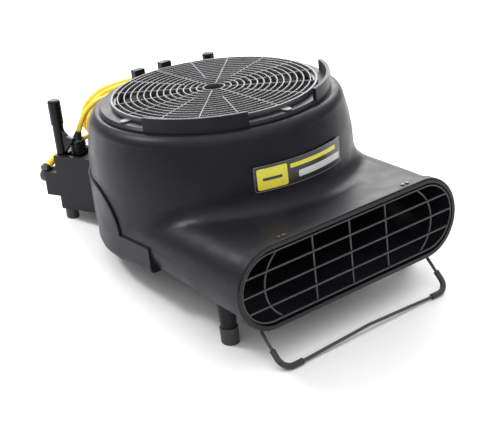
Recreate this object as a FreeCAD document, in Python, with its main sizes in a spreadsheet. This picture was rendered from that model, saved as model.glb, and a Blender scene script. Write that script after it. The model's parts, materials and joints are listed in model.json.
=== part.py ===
"""Low-profile car dryer blower: a round drum with an inlet grille on top and a wide flat outlet.

Everything is drawn in the housing's own axes: +Z up the fan's axis, the outlet facing -Y, and the
inlet grille's top face at height 0. The finished pieces are then leaned back by the stance angle, so
that the four feet stand on the floor at height 0 of the part's frame.
"""
import FreeCAD, Part
import math
import os

import Sketcher

from FreeCAD import Vector

SIZES = {
    # stance on the floor
    "stance_angle": 8.9,
    "axis_height": 228.0,
    "axis_setback": 44.937,
    # round drum and its top
    "drum_radius": 182.0,
    "wall": 4.0,
    "ridge_level": -7.0,
    "ridge_radius": 158.0,
    "ledge_level": -13.0,
    "ledge_radius": 163.0,
    "throat_radius": 137.0,
    "floor_level": -190.0,
    "floor_edge_round": 6.0,
    # outlet duct, a flattened round section
    "mouth_front": -262.0,
    "duct_front": -254.0,
    "duct_half_width": 180.0,
    "duct_top": -117.5,
    "duct_bottom": -222.5,
    "duct_root_top": -114.0,
    "duct_root_round": 37.0,
    "duct_blend": 25.0,
    # joint between the two housings
    "seam_front": -173.0,
    "seam_rear": -154.0,
    "seam_arm": -148.0,
    "seam_step_y": -75.0,
    "skirt_radius": 183.5,
    # rear deck and its two arms
    "deck_top": -127.0,
    "deck_bottom": -163.0,
    "deck_back": 256.0,
    "arm_tilt": 20.5,
    "arm_face": 69.0,
    "arm_end": 271.0,
    "arm_box_top": -100.0,
    "arm_box_end": 247.0,
    "arm_box_inner": 18.0,
    "arm_foot_level": -182.0,
    "shell": 3.0,
    # inlet grille
    "grille_radius": 140.0,
    "grille_hub_radius": 14.7,
    "grille_rings": 13.0,
    "rib_width": 2.2,
    "rib_depth": 5.5,
    "short_spoke_start": 47.0,
    # stacking lugs
    "lug_radius": 158.0,
    "lug_thickness": 5.0,
    "lug_top": 8.0,
    "lug_foot": -20.0,
    "lug_start_angle": 20.5,
    "lug_end_angle": 71.5,
    # outlet bezel and guard
    "bezel_half_width": 182.5,
    "bezel_half_height": 55.3,
    "bezel_center": -170.0,
    "bezel_band": 6.5,
    "guard_wire": 2.4,
    "guard_half_width": 174.5,
    "guard_half_height": 44.5,
    # posts and feet
    "post_x": 137.0,
    "post_y": 205.0,
    "post_radius": 8.0,
    "post_top": -19.0,
    "cap_radius": 9.3,
    "cap_length": 36.0,
    "front_foot_x": 150.0,
    "front_foot_y": -187.0,
    "front_foot_radius": 11.7,
    "rubber_height": 21.0,
    # folding front stand
    "stand_wire": 4.2,
    "stand_sleeve": 7.8,
    "stand_half_width": 141.0,
    "stand_pivot_y": -240.0,
    "stand_pivot_z": -229.5,
    "stand_foot_y": -280.4,
    # fan and motor
    "wheel_radius": 128.0,
    "wheel_top": -44.0,
    "wheel_plate": -128.0,
    "blade_count": 36.0,
    "shaft_radius": 6.0,
    "motor_radius": 58.0,
    "running_gap": 0.03,
    # mains cord
    "cord_diameter": 8.0,
}

document = FreeCAD.newDocument("car_dryer_blower")
sheet = document.addObject("Spreadsheet::Sheet", "Sizes")
for row_number, (alias, value) in enumerate(SIZES.items(), start=1):
    sheet.set(f"A{row_number}", alias)
    sheet.set(f"B{row_number}", str(value))
    sheet.setAlias(f"B{row_number}", alias)
document.recompute()

nodes = []
UP = Vector(0, 0, 1)
ORIGIN = Vector(0, 0, 0)


class Size:
    """A number from the sheet together with the expression that gives it."""

    def __init__(self, number, text=None):
        self.number = float(number)
        self.text = text or repr(float(number))

    def join(self, other, sign, number):
        other = other if isinstance(other, Size) else Size(other)
        return Size(number(self.number, other.number), f"({self.text} {sign} {other.text})")

    def __add__(self, other):
        return self.join(other, "+", lambda a, b: a + b)

    def __sub__(self, other):
        return self.join(other, "-", lambda a, b: a - b)

    def __mul__(self, other):
        return self.join(other, "*", lambda a, b: a * b)

    def __neg__(self):
        return self * -1.0

    def __float__(self):
        return self.number


def size(alias):
    """The sheet's value as a Size."""
    return Size(sheet.get(alias), f"Sizes.{alias}")


def num(alias):
    """The sheet's value as a plain number."""
    return float(sheet.get(alias))


def bind(target, name, value):
    """Set a property, by expression where the value comes from the sheet."""
    if isinstance(value, Size):
        target.setExpression(name, value.text)
    else:
        setattr(target, name, value)


# ---------------------------------------------------------------- finished pieces

stance = FreeCAD.Rotation(Vector(1, 0, 0), -num("stance_angle"))
stand_up = FreeCAD.Placement(Vector(0, num("axis_setback"), num("axis_height")), stance)


def finish(piece, label):
    """Name a finished sub-part and lean it back onto the floor with the rest."""
    piece.Label = label
    piece.Placement = stand_up.multiply(piece.Placement)
    nodes.append(piece)
    return piece


def shaped(label, shape):
    """A sub-part whose solid is worked out from the sheet in code."""
    piece = document.addObject("Part::Feature", label)
    piece.Shape = shape
    return finish(piece, label)


# ---------------------------------------------------------------- PartDesign helpers

def origin_plane(body, role):
    """One of the body's own origin planes."""
    return next(item for item in body.Origin.OriginFeatures if item.Role == role)


def sketch_on(body, role, name, offset=0.0):
    """An empty sketch on one of the body's origin planes, lifted along its normal."""
    sketch = body.newObject("Sketcher::SketchObject", name)
    sketch.AttachmentSupport = [(origin_plane(body, role), "")]
    sketch.MapMode = "FlatFace"
    if isinstance(offset, Size):
        sketch.setExpression(".AttachmentOffset.Base.z", offset.text)
    else:
        sketch.AttachmentOffset = FreeCAD.Placement(Vector(0, 0, offset), FreeCAD.Rotation())
    return sketch


def hold(sketch, kind, place, value):
    """One driving dimension of a sketch."""
    value = value if isinstance(value, Size) else Size(value)
    index = sketch.addConstraint(Sketcher.Constraint(kind, *place, value.number))
    sketch.setExpression(f"Constraints[{index}]", value.text)


def draw_outline(sketch, corners):
    """A closed outline whose corners are each held by two dimensions from the origin."""
    points = [Vector(float(across), float(along), 0) for across, along in corners]
    for index, point in enumerate(points):
        sketch.addGeometry(Part.LineSegment(point, points[(index + 1) % len(points)]), False)
    for index, (across, along) in enumerate(corners):
        before = index - 1 if index else len(corners) - 1
        sketch.addConstraint(Sketcher.Constraint("Coincident", before, 2, index, 1))
        hold(sketch, "DistanceX", (-1, 1, index, 1), across)
        hold(sketch, "DistanceY", (-1, 1, index, 1), along)


def turned(label, corners):
    """A body turned about the fan's axis from a half outline of (radius, height) corners."""
    body = document.addObject("PartDesign::Body", label)
    sketch = sketch_on(body, "XZ_Plane", label + "_outline")
    draw_outline(sketch, corners)
    turn = body.newObject("PartDesign::Revolution", label + "_turn")
    turn.Profile = sketch
    turn.ReferenceAxis = (sketch, ["V_Axis"])
    turn.Angle = 360
    sketch.Visibility = False
    return body


def primitive(kind, name, **values):
    """A Part primitive with its dimensions bound."""
    item = document.addObject(f"Part::{kind}", name)
    for key, value in values.items():
        bind(item, key, value)
    return item


def rod(name, radius, length, base, direction=UP):
    """A cylinder from a base point along a direction."""
    item = primitive("Cylinder", name, Radius=radius, Height=length)
    item.Placement = FreeCAD.Placement(Vector(*base), FreeCAD.Rotation(UP, Vector(*direction)))
    return item


def less(name, base, tool):
    """A boolean difference of two document objects."""
    cut = document.addObject("Part::Cut", name)
    cut.Base = base
    cut.Tool = tool
    return cut


def grouped(name, items):
    """Separate solids kept side by side in one piece."""
    compound = document.addObject("Part::Compound", name)
    compound.Links = items
    return compound


# ---------------------------------------------------------------- geometry helpers

def oblong(half_width, low, high, radius, y):
    """A closed upright outline at one station along the duct, with round corners."""
    edges = []
    ends = []
    for side_x, side_z, start in ((1, 1, 0), (-1, 1, 90), (-1, -1, 180), (1, -1, 270)):
        center_x = side_x * (half_width - radius)
        center_z = high - radius if side_z > 0 else low + radius
        points = []
        for turn in (0, 45, 90):
            angle = math.radians(start + turn)
            points.append(Vector(center_x + radius * math.cos(angle), y, center_z + radius * math.sin(angle)))
        edges.append(Part.Arc(*points).toShape())
        ends.append((points[0], points[2]))
    loop = []
    for index, edge in enumerate(edges):
        loop.append(edge)
        leave = ends[index][1]
        arrive = ends[(index + 1) % 4][0]
        if leave.distanceToPoint(arrive) > 1e-6:
            loop.append(Part.makeLine(leave, arrive))
    return Part.Wire(loop)


def polygon(points):
    """A flat face from its corner points."""
    return Part.Face(Part.makePolygon(list(points) + [points[0]]))


def prism(corners, low, high):
    """An upright prism from plan corners."""
    return polygon([Vector(x, y, low) for x, y in corners]).extrude(Vector(0, 0, high - low))


def box(x_range, y_range, z_range):
    """A box from its three ranges."""
    spans = [high - low for low, high in (x_range, y_range, z_range)]
    return Part.makeBox(*spans, Vector(x_range[0], y_range[0], z_range[0]))


def ring(inner, outer, low, high):
    """A flat-ended round ring about the fan's axis."""
    tube = Part.makeCylinder(outer, high - low, Vector(0, 0, low))
    return tube.cut(Part.makeCylinder(inner, high - low, Vector(0, 0, low)))


def rounded_path(points, radii):
    """Straight runs joined by tangent arcs, one radius for each inner point."""
    edges = []
    start = points[0]
    for index in range(1, len(points) - 1):
        corner = points[index]
        back = (points[index - 1] - corner).normalize()
        ahead = (points[index + 1] - corner).normalize()
        half_turn = (math.pi - back.getAngle(ahead)) / 2
        radius = radii[index - 1]
        trim = radius * math.tan(half_turn)
        middle = (back + ahead).normalize() * (radius / math.cos(half_turn) - radius)
        enter = corner + back * trim
        leave = corner + ahead * trim
        if start.distanceToPoint(enter) > 1e-6:
            edges.append(Part.makeLine(start, enter))
        edges.append(Part.Arc(enter, corner + middle, leave).toShape())
        start = leave
    if start.distanceToPoint(points[-1]) > 1e-6:
        edges.append(Part.makeLine(start, points[-1]))
    return Part.Wire(edges)


def tube_along(path, radius):
    """A round solid bar along a smooth path."""
    first = path.Edges[0]
    heading = first.tangentAt(first.FirstParameter)
    circle = Part.Wire(Part.makeCircle(radius, first.valueAt(first.FirstParameter), heading))
    return path.makePipeShell([circle], True, False)


def natural_radii(points):
    """The largest arcs that each bend's two runs leave room for."""
    radii = []
    for index in range(1, len(points) - 1):
        back = points[index - 1] - points[index]
        ahead = points[index + 1] - points[index]
        half_turn = (math.pi - back.getAngle(ahead)) / 2
        radii.append(0.45 * min(back.Length, ahead.Length) / math.tan(half_turn))
    return radii


TILT = math.radians(num("arm_tilt"))
ALONG_ARM = Vector(-math.sin(TILT), math.cos(TILT), 0)
OFF_FACE = Vector(-math.cos(TILT), -math.sin(TILT), 0)


def arm_point(along, off, z=0.0, side=-1):
    """A point of an arm: distance out along it, distance towards its outer face, height."""
    point = ALONG_ARM * along + OFF_FACE * off
    return Vector(point.x * -side, point.y, z)


def arm_prism(along_range, off_range, z_range, side=-1):
    """A block lined up with an arm."""
    near, far = along_range
    inner, outer = off_range
    plan = [arm_point(a, o, 0, side) for a, o in ((near, inner), (far, inner), (far, outer), (near, outer))]
    return prism([(point.x, point.y) for point in plan], *z_range)


# ---------------------------------------------------------------- the two housings

def drum_solid():
    """The round drum with its stepped top, as a full solid of revolution."""
    ridge, ledge = num("ridge_level"), num("ledge_level")
    outer, base = num("drum_radius"), num("floor_level")
    corners = [
        Vector(0, 0, ridge), Vector(num("ridge_radius") - 3, 0, ridge),
        Vector(num("ridge_radius"), 0, ridge - 3), Vector(num("ridge_radius"), 0, ledge),
        Vector(num("ledge_radius"), 0, ledge),
    ]
    edges = [Part.makeLine(a, b) for a, b in zip(corners, corners[1:])]
    shoulder = Vector(outer - 8, 0, ledge - 15)
    hip = Vector(outer, 0, ledge - 82)
    edges.append(Part.Arc(corners[-1], Vector(outer - 12.5, 0, ledge - 4.5), shoulder).toShape())
    edges.append(Part.Arc(shoulder, Vector(outer - 2.5, 0, ledge - 42), hip).toShape())
    low = [hip, Vector(outer, 0, base), Vector(0, 0, base), corners[0]]
    edges += [Part.makeLine(a, b) for a, b in zip(low, low[1:])]
    return Part.Face(Part.Wire(edges)).revolve(ORIGIN, UP, 360)


def duct_solid(inset, front):
    """The duct between its mouth and its root in the drum, drawn in by an inset."""
    half_width = num("duct_half_width") - inset
    low, high = num("duct_bottom") + inset, num("duct_top") - inset
    mouth = oblong(half_width, low, high, (high - low) / 2 - 0.1, front)
    root_low, root_high = num("floor_level") + inset, num("duct_root_top") - inset
    root = oblong(half_width + 1, root_low, root_high, num("duct_root_round") - inset, 0)
    return Part.makeLoft([mouth, root], True, True)


def blend_drum_and_duct(solid):
    """Soften the inner corner where the drum's wall meets the top of the duct."""
    corner_edges = []
    for edge in solid.Edges:
        middle = edge.valueAt((edge.FirstParameter + edge.LastParameter) / 2)
        on_drum = abs(math.hypot(middle.x, middle.y) - num("drum_radius")) < 0.6
        on_top = middle.y < -1 and middle.z > num("seam_rear") and edge.BoundBox.YLength > 2
        if on_drum and on_top:
            corner_edges.append(edge)
    return solid.makeFillet(num("duct_blend"), corner_edges)


def deck_plan(inset=0.0):
    """Plan corners of the rear deck between the outer faces of both arms."""
    left = [
        arm_point(150, num("arm_face") - inset), arm_point(num("arm_end") - inset, num("arm_face") - inset),
        Vector(-89.0 + 0.2 * inset, num("deck_back") - inset, 0),
    ]
    right = [Vector(-point.x, point.y, 0) for point in reversed(left)]
    return [(point.x, point.y) for point in left + right]


def deck_solids():
    """The rear deck, the raised arm boxes on it and the foot blocks under it."""
    solids = [prism(deck_plan(), num("deck_bottom"), num("deck_top"))]
    off = (num("arm_box_inner"), num("arm_face"))
    along = (150, num("arm_box_end"))
    for side in (-1, 1):
        solids.append(arm_prism(along, off, (num("deck_top") - 1, num("arm_box_top")), side))
        solids.append(arm_prism(along, off, (num("arm_foot_level"), num("deck_bottom") + 1), side))
    return solids


def housing_cavity():
    """Air space of the drum, the throat above it, the duct, and the hollow deck and arms."""
    wall, base = num("wall"), num("floor_level") + num("wall")
    inner, top = num("drum_radius") - wall, num("ledge_level") - wall
    outline = [
        Vector(0, 0, top), Vector(inner - 16, 0, top), Vector(inner - 5, 0, top - 16),
        Vector(inner, 0, top - 50), Vector(inner, 0, base), Vector(0, 0, base),
    ]
    drum = polygon(outline).revolve(ORIGIN, UP, 360)
    throat = Part.makeCylinder(num("throat_radius"), 40, Vector(0, 0, top - 10))
    duct = duct_solid(wall, num("mouth_front") - 1)
    shell = num("shell")
    deck = prism(deck_plan(shell), num("deck_bottom") + shell, num("deck_top") - shell)
    core = Part.makeCylinder(num("drum_radius"), 100, Vector(0, 0, -200))
    spaces = [drum, throat, duct, deck.cut(core)]
    for side in (-1, 1):
        foot = arm_prism(
            (150, num("arm_box_end") - shell), (num("arm_box_inner") + shell, num("arm_face") - shell),
            (num("arm_foot_level") + shell, num("deck_bottom") + 4), side)
        spaces.append(foot.cut(core))
        post = Part.makeCylinder(num("post_radius"), 200, Vector(side * num("post_x"), num("post_y"), -210))
        spaces.append(post)
    return spaces


def plug_pocket():
    """The pocket in the left arm box that the plug is parked in."""
    return arm_prism((200, 233.5), (27, 62), (-125, num("arm_box_top") + 1))


def below_seam():
    """Everything under the stepped joint between the housings."""
    far = 400.0
    front = box((-far, far), (-far, num("seam_step_y")), (-far, num("seam_front")))
    middle = box((-far, far), (num("seam_step_y"), 150), (-far, num("seam_rear")))
    rear = box((-far, far), (150, far), (-far, num("seam_arm")))
    return front.multiFuse([middle, rear]).removeSplitter()


def skirt_solid():
    """The deeper D-shaped tray that stands slightly proud of the drum under the joint."""
    radius, base, rim = num("skirt_radius"), num("floor_level"), num("seam_rear")
    step = num("seam_step_y")
    tray = Part.makeCylinder(radius, rim - base, Vector(0, 0, base))
    tray = tray.fuse(box((-radius, radius), (step, 0), (base, rim)))
    tray = tray.cut(box((-300, 300), (-300, step), (base - 1, rim + 1))).removeSplitter()
    edges = [edge for edge in tray.Edges if edge.BoundBox.ZMax < base + 0.1 and edge.BoundBox.YMax > step + 1]
    return tray.makeFillet(num("floor_edge_round"), edges)


def lug_solids():
    """The two arc walls that locate a second blower stacked on top."""
    outer, inner = num("lug_radius"), num("lug_radius") - num("lug_thickness")
    start, sweep = num("lug_start_angle"), num("lug_end_angle") - num("lug_start_angle")
    solids = []
    for side in (-1, 1):
        corners = [Vector(inner, 0, num("lug_foot")), Vector(outer, 0, num("lug_foot")),
                   Vector(outer, 0, num("lug_top")), Vector(inner, 0, num("lug_top"))]
        wall = polygon(corners).revolve(ORIGIN, UP, sweep)
        wall.rotate(ORIGIN, UP, -90 + start if side > 0 else -90 - start - sweep)
        solids.append(wall)
    return solids


def stop_blocks():
    """The two small square blocks behind the grille."""
    return [box((side * 23 - 8.5, side * 23 + 8.5), (147, 158), (num("ledge_level"), 5)) for side in (-1, 1)]


whole = drum_solid().fuse(duct_solid(0, num("duct_front"))).removeSplitter()
whole = blend_drum_and_duct(whole)
whole = whole.multiFuse(deck_solids() + lug_solids() + stop_blocks() + [skirt_solid()])
inside = housing_cavity() + [plug_pocket()]
hollow = whole.cut(inside)
under = below_seam()


def flat_screw(point, direction, head, shank, length, head_height=None):
    """A pan-head screw: the head stands on the point, the shank runs against the direction."""
    direction = Vector(*direction)
    height = head_height or 0.7 * shank * 2
    cap = Part.makeCylinder(head, height, point, direction)
    rim = [edge for edge in cap.Edges if edge.Curve.TypeId == "Part::GeomCircle"]
    top = max(rim, key=lambda edge: edge.CenterOfMass.dot(direction))
    cap = cap.makeFillet(0.35 * height, [top])
    slot = Part.makeBox(1.6 * head, 0.22 * head, height, Vector(-0.8 * head, -0.11 * head, 0.55 * height))
    slot.Placement = FreeCAD.Placement(point, FreeCAD.Rotation(UP, direction))
    return cap.cut(slot).fuse(Part.makeCylinder(shank, length, point, direction * -1.0))


def circle_points(radius, count, height, start=0.0):
    """Evenly spaced points on a circle about the fan's axis."""
    angles = [math.radians(start + 360 * index / count) for index in range(count)]
    return [Vector(radius * math.cos(a), radius * math.sin(a), height) for a in angles]


# Fasteners come first, because the holes that they leave are drilled with their own solids.

seam_bosses = [Vector(172.5 * math.cos(a), 172.5 * math.sin(a), num("floor_level"))
               for a in (math.radians(v) for v in (10, 60, 120, 170))]
boss_top = num("seam_rear") + 14
housing_screws = [flat_screw(base, (0, 0, -1), 4.5, 2.2, 44) for base in seam_bosses]

# The bezel's short screws only clamp the hooked ends of the wire guard, so they stop in its band.
bezel_screw_x = (-106.5, -99.0, 99.0, 106.5)
low_hook_x = 66.0
bezel_screws = [flat_screw(Vector(x, -252.0, -114.9), (0, 0, 1), 2.6, 1.3, 2.3) for x in bezel_screw_x]
bezel_screws += [flat_screw(Vector(x, -252.0, -225.1), (0, 0, -1), 2.6, 1.3, 2.3)
                 for x in (-low_hook_x, low_hook_x)]

grille_screws = [flat_screw(point, (0, 0, 1), 3.4, 1.7, 12)
                 for point in circle_points(149, 4, num("ridge_level"), 2)]

motor_screws = [flat_screw(point, (0, 0, 1), 5.0, 3.0, 11, 4.0) for point in circle_points(67, 4, -179, 45)]

CLIP_X, CLIP_LOW = 122.0, -233.2
clip_screws = []
for side in (-1, 1):
    for across in (-6, 6):
        seat = Vector(side * CLIP_X + across, num("stand_pivot_y") + 7.5, CLIP_LOW)
        clip_screws.append(flat_screw(seat, (0, 0, -1), 3.2, 1.6, 16))


def seam_boss_solids():
    """Round bosses inside the drum and duct that the housing screws run in."""
    return [Part.makeCylinder(6.5, boss_top - base.z - 1, base + UP) for base in seam_bosses]


KNOB_OFF, KNOB_Z = 56.0, -137.7
switch_hole = Part.makeCylinder(4.6, 30, arm_point(255, KNOB_OFF, KNOB_Z), ALONG_ARM)
hollow = hollow.multiFuse(seam_boss_solids()).removeSplitter()
drilled = housing_screws + grille_screws + motor_screws + clip_screws + [switch_hole]
hollow = hollow.cut(drilled)
shaped("upper_housing", hollow.cut(under))
shaped("lower_housing", hollow.common(under))

# ---------------------------------------------------------------- inlet

grille_top = 0.0
grille_bars = []
pitch = (num("grille_radius") - num("grille_hub_radius")) / (num("grille_rings") + 1)
half_rib = num("rib_width") / 2
for index in range(int(num("grille_rings")) + 1):
    radius = num("grille_hub_radius") + pitch * index
    grille_bars.append(ring(radius - half_rib, radius + half_rib, -num("rib_depth"), grille_top))
for index in range(16):
    inner = num("grille_hub_radius") if index % 2 == 0 else num("short_spoke_start")
    spoke = box((inner, num("grille_radius") - 1), (-half_rib * 0.9, half_rib * 0.9), (-num("rib_depth"), -0.6))
    spoke.rotate(ORIGIN, UP, -90 + 22.5 * index)
    grille_bars.append(spoke)
rim = ring(num("grille_radius") - 2.5, num("grille_radius") + 1, num("ridge_level"), grille_top)
spigot = ring(num("throat_radius") - 3, num("throat_radius") - 0.3, num("ridge_level") - 7, num("ridge_level"))
foot_ring = ring(num("throat_radius") - 3, num("grille_radius") + 1, num("ridge_level"), num("ridge_level") + 2)
tabs = [Part.makeCylinder(6, 2.5, point) for point in circle_points(149, 4, num("ridge_level"), 2)]
links = []
for index in range(4):
    link = box((139, 149), (-6, 6), (num("ridge_level"), num("ridge_level") + 2.5))
    link.rotate(ORIGIN, UP, 2 + 90 * index)
    links.append(link)
grille = rim.multiFuse(grille_bars + [spigot, foot_ring] + tabs + links).removeSplitter()
seats = [Part.makeCylinder(3.4, 10, point) for point in circle_points(149, 4, num("ridge_level"), 2)]
grille = grille.cut(seats)
shaped("inlet_grille", grille)
shaped("grille_screws", Part.makeCompound(grille_screws))

finish(turned("inlet_ring", [
    (130.0, size("ledge_level") - size("wall") - 0.3), (152.0, size("ledge_level") - size("wall") - 0.3),
    (152.0, size("ledge_level") - size("wall") - 3.3), (138.0, size("ledge_level") - size("wall") - 3.3),
    (125.0, size("wheel_top") + 16.0), (115.0, size("wheel_top")), (112.0, size("wheel_top")),
    (121.5, size("wheel_top") + 18.0),
]), "inlet_ring")

# ---------------------------------------------------------------- outlet bezel and wire guard

bezel_low = num("bezel_center") - num("bezel_half_height")
bezel_high = num("bezel_center") + num("bezel_half_height")
bezel_back = -248.0


def bezel_outline(inset, y):
    """The bezel's outline drawn in by an inset."""
    low, high = bezel_low + inset, bezel_high - inset
    return oblong(num("bezel_half_width") - inset, low, high, (high - low) / 2 - 0.1, y)


def slab(wire, depth):
    """A flat plate from an upright outline, running back along the duct."""
    return Part.Face(wire).extrude(Vector(0, depth, 0))


bezel_front = num("mouth_front")
bezel = slab(bezel_outline(0, bezel_front), bezel_back - bezel_front)
front_edges = [edge for edge in bezel.Edges if edge.BoundBox.YMax < bezel_front + 0.1]
bezel = bezel.makeFillet(2.4, front_edges)
bezel = bezel.cut(slab(bezel_outline(num("bezel_band"), bezel_front - 1), 40))
duct_end = duct_solid(-0.05, num("duct_front"))
bezel = bezel.cut(duct_end).cut(bezel_screws)
shaped("outlet_bezel", bezel)
shaped("bezel_screws", Part.makeCompound(bezel_screws))

guard_y = -259.6
guard_radius = num("guard_wire") / 2
guard_round = num("guard_half_height") - 0.1
middle = num("bezel_center")


def guard_span(rise):
    """Half length of a flat guard wire at a height from the middle."""
    reach = num("guard_half_width") - num("guard_half_height")
    return reach + math.sqrt(guard_round ** 2 - rise ** 2)


def guard_frame_solid():
    """The guard's oval hoop with its two bowed side wires and the hooks that the bezel screws clamp."""
    low, high = middle - num("guard_half_height"), middle + num("guard_half_height")
    wires = [tube_along(oblong(num("guard_half_width"), low, high, guard_round, guard_y), guard_radius)]
    bow_y = guard_y + 1.9
    for side in (-1, 1):
        bow = Part.Arc(Vector(side * 118, bow_y, low + 2.5), Vector(side * 139.5, bow_y, middle),
                       Vector(side * 118, bow_y, high - 2.5))
        wires.append(tube_along(Part.Wire([bow.toShape()]), guard_radius))
    for across, level in ((-102.7, high), (102.7, high), (-low_hook_x, low), (low_hook_x, low)):
        start = Vector(across, guard_y, level)
        back = Vector(0, 4.5, 0)
        lip = Vector(0, 0, math.copysign(4.1, level - middle))
        hook = rounded_path([start, start + back, start + back + lip], [2.0])
        wires.append(tube_along(hook, guard_radius * 0.9))
    return wires[0].multiFuse(wires[1:])


def guard_bar_solids(frame):
    """The straight wires: three flat ones that butt on the hoop, and three upright ones behind them."""
    bars = []
    for rise in (-23.1, 0.0, 23.1):
        reach = guard_span(rise) - 0.9
        end = Vector(-reach, guard_y, middle + rise)
        bar = Part.makeCylinder(guard_radius, 2 * reach, end, Vector(1, 0, 0))
        bars.append(bar.cut(frame))
    half_height = num("guard_half_height")
    for across in (-60.6, 0.0, 60.6):
        foot = Vector(across, guard_y + num("guard_wire"), middle - half_height)
        bars.append(Part.makeCylinder(guard_radius, 2 * half_height, foot, UP))
    return bars


guard_frame = guard_frame_solid()
shaped("guard_frame", guard_frame)
shaped("guard_bars", Part.makeCompound(guard_bar_solids(guard_frame)))

# ---------------------------------------------------------------- cord posts and feet


def floor_height(y):
    """Height of the floor under the housing's own axes at a distance along the duct."""
    lean = math.radians(num("stance_angle"))
    return (y * math.sin(lean) - num("axis_height")) / math.cos(lean)


def floor_cutter(radius, x, y):
    """The half space under the floor, cut square round one foot."""
    span = 2 * radius + 20
    low = [Vector(x - span / 2, y + step, floor_height(y + step)) for step in (-span / 2, span / 2)]
    drop = Vector(0, 0, -40)
    side = polygon([low[0], low[1], low[1] + drop, low[0] + drop])
    return side.extrude(Vector(span, 0, 0))


def post_solid(side):
    """A rear post with its cord hook: a round shaft through both housings, up to its cap."""
    x, y = side * num("post_x"), num("post_y")
    radius = num("post_radius")
    low, high = floor_height(y) + 12, num("post_top") - num("cap_length")
    shaft = Part.makeCylinder(radius, high - low, Vector(x, y, low))
    spigot = Part.makeCylinder(radius - 2.2, num("cap_length") - 6, Vector(x, y, high))
    inward = Vector(-side * abs(ALONG_ARM.x), -ALONG_ARM.y, 0)
    across = Vector(-inward.y, inward.x, 0)
    outline = [(4, -58), (9, -66), (15, -72.5), (25, -75), (25, -79), (16, -88), (6, -99.5)]
    base = Vector(x, y, 0) - across * 3
    fin = polygon([base + inward * out + Vector(0, 0, z) for out, z in outline]).extrude(across * 6)
    return shaft.multiFuse([spigot, fin]).removeSplitter()


def post_cap_body(side, label):
    """The moulded cap over a post's upper end, with a rounded crown."""
    top, outer = size("post_top"), size("cap_radius")
    base, bore = top - size("cap_length"), size("post_radius") - 2.2
    cap = turned(label, [
        (bore, base), (outer, base), (outer, top - 3.0), (outer - 0.9, top - 0.9), (outer - 3.0, top),
        (0.0, top), (0.0, top - 6.0), (bore, top - 6.0),
    ])
    cap.Placement.Base = Vector(side * num("post_x"), num("post_y"), 0)
    return cap


def rear_foot_solid(side):
    """A rubber boot on the lower end of a rear post, cut flush with the floor."""
    x, y = side * num("post_x"), num("post_y")
    low = floor_height(y) + 12
    boot = Part.makeCylinder(num("post_radius") + 1.2, 22, Vector(x, y, low - 18))
    boot = boot.cut(Part.makeCylinder(num("post_radius"), 30, Vector(x, y, low)))
    return boot.cut(floor_cutter(12, x, y))


def front_leg_solid(side):
    """A tapered front leg under the duct's side, down to its rubber cap."""
    x, y = side * num("front_foot_x"), num("front_foot_y")
    low = floor_height(y) + num("rubber_height") - 4
    leg = Part.makeCone(num("front_foot_radius") - 1.8, num("front_foot_radius") + 3.5, 74, Vector(x, y, low))
    outer = duct_solid(0, num("duct_front"))
    return leg.cut(outer)


def front_foot_solid(side):
    """The rubber cap on a front leg, cut flush with the floor."""
    x, y = side * num("front_foot_x"), num("front_foot_y")
    low = floor_height(y)
    radius = num("front_foot_radius")
    cap = Part.makeCylinder(radius, num("rubber_height") + 4, Vector(x, y, low - 4))
    leg = Part.makeCone(radius - 1.8, radius + 3.5, 74, Vector(x, y, low + num("rubber_height") - 4))
    return cap.cut(leg).cut(floor_cutter(16, x, y))


for side, name in ((-1, "left"), (1, "right")):
    shaped(f"cord_post_{name}", post_solid(side))
    finish(post_cap_body(side, f"post_cap_{name}"), f"post_cap_{name}")
    shaped(f"rear_foot_{name}", rear_foot_solid(side))
    shaped(f"front_leg_{name}", front_leg_solid(side))
    shaped(f"front_foot_{name}", front_foot_solid(side))

shaped("housing_screws", Part.makeCompound(housing_screws))

# ---------------------------------------------------------------- motor

shaft_low, shaft_high = -181.0, -61.0
base_inside = num("floor_level") + num("wall")
case_low, case_high = -179.0, -103.0

mount_disc = rod("mount_disc", 80.0, 3.0, (0, 0, base_inside))
mount_holes = [rod(f"mount_hole_{index}", 3.0, 20.0, point)
               for index, point in enumerate(circle_points(67, 4, -190, 45))]
finish(less("mount_plate_cut", mount_disc, grouped("mount_holes", mount_holes)), "motor_mount_plate")
shaped("motor_screws", Part.makeCompound(motor_screws))

can = Part.makeCylinder(num("motor_radius"), case_high - case_low + 1, Vector(0, 0, case_low - 1))
flange = Part.makeCylinder(74, 4, Vector(0, 0, base_inside + 3))
flange = flange.cut([Part.makeCylinder(3.0, 20, point) for point in circle_points(67, 4, -190, 45)])
can = can.fuse(flange).cut(Part.makeCylinder(num("motor_radius") - 3.5, 120, Vector(0, 0, case_low)))
shaped("motor_case", can.removeSplitter())

bearing_outer = 14.0
bearing_low = (case_low, case_low + 9)
bearing_high = (case_high, case_high + 8)
end_cap_outline = [
    (bearing_outer, bearing_high[0]),
    (size("motor_radius"), bearing_high[0]), (size("motor_radius") - 3.0, bearing_high[0] + 6.0),
    (24.0, bearing_high[0] + 8.0), (bearing_outer, bearing_high[0] + 8.0),
]
finish(turned("motor_end_cap", end_cap_outline), "motor_end_cap")
for name, (low, high) in (("lower", bearing_low), ("upper", bearing_high)):
    bore = size("shaft_radius") + size("running_gap")
    outline = [(bore, low), (bearing_outer, low), (bearing_outer, high), (bore, high)]
    finish(turned(f"bearing_{name}", outline), f"bearing_{name}")

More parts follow.
